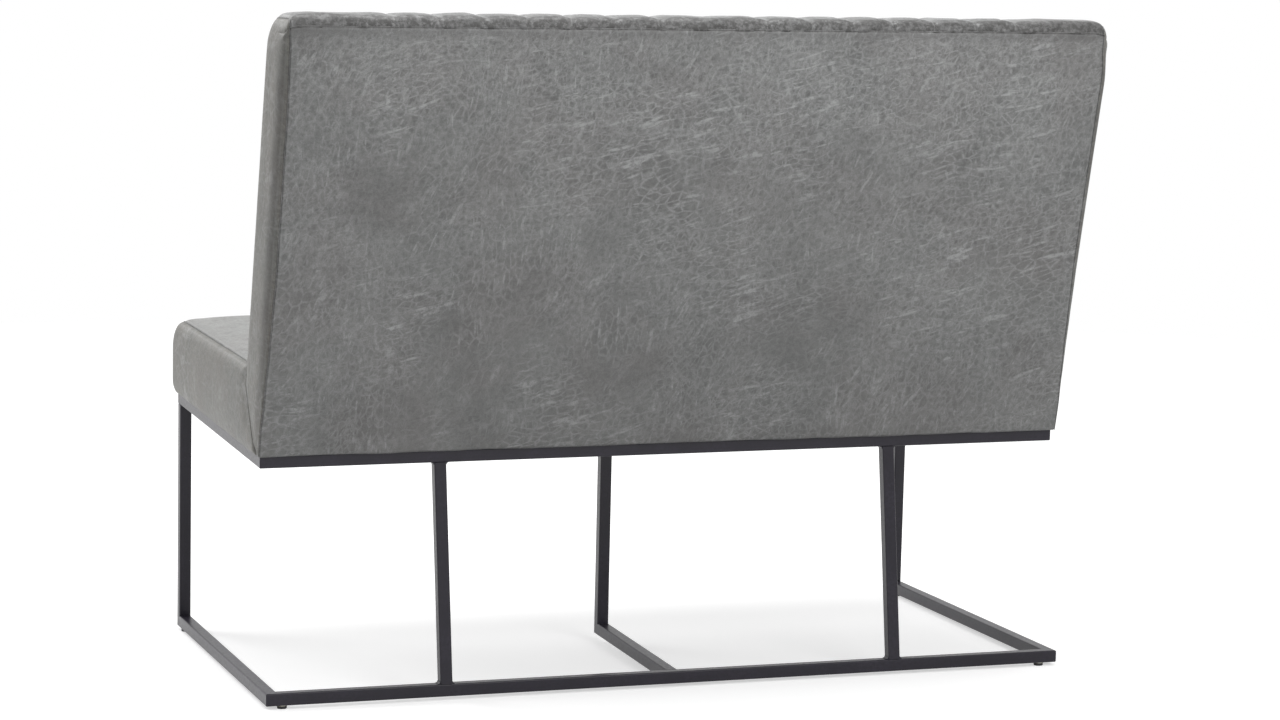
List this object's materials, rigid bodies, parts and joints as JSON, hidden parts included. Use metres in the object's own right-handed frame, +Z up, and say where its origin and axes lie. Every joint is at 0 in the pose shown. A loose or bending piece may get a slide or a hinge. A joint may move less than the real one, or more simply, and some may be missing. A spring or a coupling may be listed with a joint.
{
  "type": "dining bench with backrest",
  "caption": "Dining bench with an upholstered seat and a reclined, channel-quilted back in grey leather on a black steel sled frame.",
  "frame": {"origin": "on the floor under the middle of the overall width and depth", "axes": "+X to the sitter's right along the bench, -Y towards the sitter's front, +Z up"},
  "size_m": [1.234, 0.7742, 0.9778],
  "materials": {
    "powder_coat": "satin black powder coat",
    "black_plastic": "matte",
    "zinc_steel": "bright zinc plated",
    "timber": "planed softwood",
    "hardboard": "pressed board",
    "webbing": "woven elastic",
    "foam": "open-cell foam",
    "dust_cloth": "non-woven cloth",
    "grey_leather": "distressed, soft satin"
  },
  "bodies": {
    "bench": {"seat_frame_front_rail": "powder_coat", "seat_frame_rear_rail": "powder_coat", "seat_frame_left_rail": "powder_coat", "seat_frame_right_rail": "powder_coat", "seat_frame_middle_rail": "powder_coat", "front_leg_left": "powder_coat", "front_leg_right": "powder_coat", "middle_leg": "powder_coat", "rear_post_left": "powder_coat", "rear_post_right": "powder_coat", "floor_rail_left": "powder_coat", "floor_rail_right": "powder_coat", "floor_rail_middle": "powder_coat", "floor_rail_rear": "powder_coat", "back_upright_left": "powder_coat", "back_upright_right": "powder_coat", "mounting_tabs": "powder_coat", "weld_beads": "powder_coat", "threaded_inserts": "zinc_steel", "seat_box_front_rail": "timber", "seat_box_rear_rail": "timber", "seat_box_left_rail": "timber", "seat_box_right_rail": "timber", "seat_box_middle_rail": "timber", "corner_blocks": "timber", "seat_webbing": "webbing", "seat_foam": "foam", "seat_cover": "grey_leather", "seat_side_panel_left": "grey_leather", "seat_side_panel_right": "grey_leather", "dust_cover": "dust_cloth", "dust_cover_staples": "zinc_steel", "seat_screws": "zinc_steel", "back_left_stile": "timber", "back_right_stile": "timber", "back_middle_stile": "timber", "back_top_rail": "timber", "back_upper_cross_rail": "timber", "back_lower_cross_rail": "timber", "back_webbing": "webbing", "back_rear_board": "hardboard", "back_foam": "foam", "back_front_cover": "grey_leather", "back_rear_cover": "grey_leather", "back_side_panel_left": "grey_leather", "back_side_panel_right": "grey_leather", "back_screws": "zinc_steel"},
    "glide_front_left": {"glide_base_front_left": "black_plastic", "glide_stud_front_left": "zinc_steel"},
    "glide_front_right": {"glide_base_front_right": "black_plastic", "glide_stud_front_right": "zinc_steel"},
    "glide_rear_left": {"glide_base_rear_left": "black_plastic", "glide_stud_rear_left": "zinc_steel"},
    "glide_rear_right": {"glide_base_rear_right": "black_plastic", "glide_stud_rear_right": "zinc_steel"}
  },
  "joints": [
    {"name": "glide_front_left_screw", "type": "slide", "parent": "bench", "child": "glide_front_left", "axis": [0, 0, -1], "range_m": [0, 0.008]},
    {"name": "glide_front_right_screw", "type": "slide", "parent": "bench", "child": "glide_front_right", "axis": [0, 0, -1], "range_m": [0, 0.008]},
    {"name": "glide_rear_left_screw", "type": "slide", "parent": "bench", "child": "glide_rear_left", "axis": [0, 0, -1], "range_m": [0, 0.008]},
    {"name": "glide_rear_right_screw", "type": "slide", "parent": "bench", "child": "glide_rear_right", "axis": [0, 0, -1], "range_m": [0, 0.008]}
  ]
}
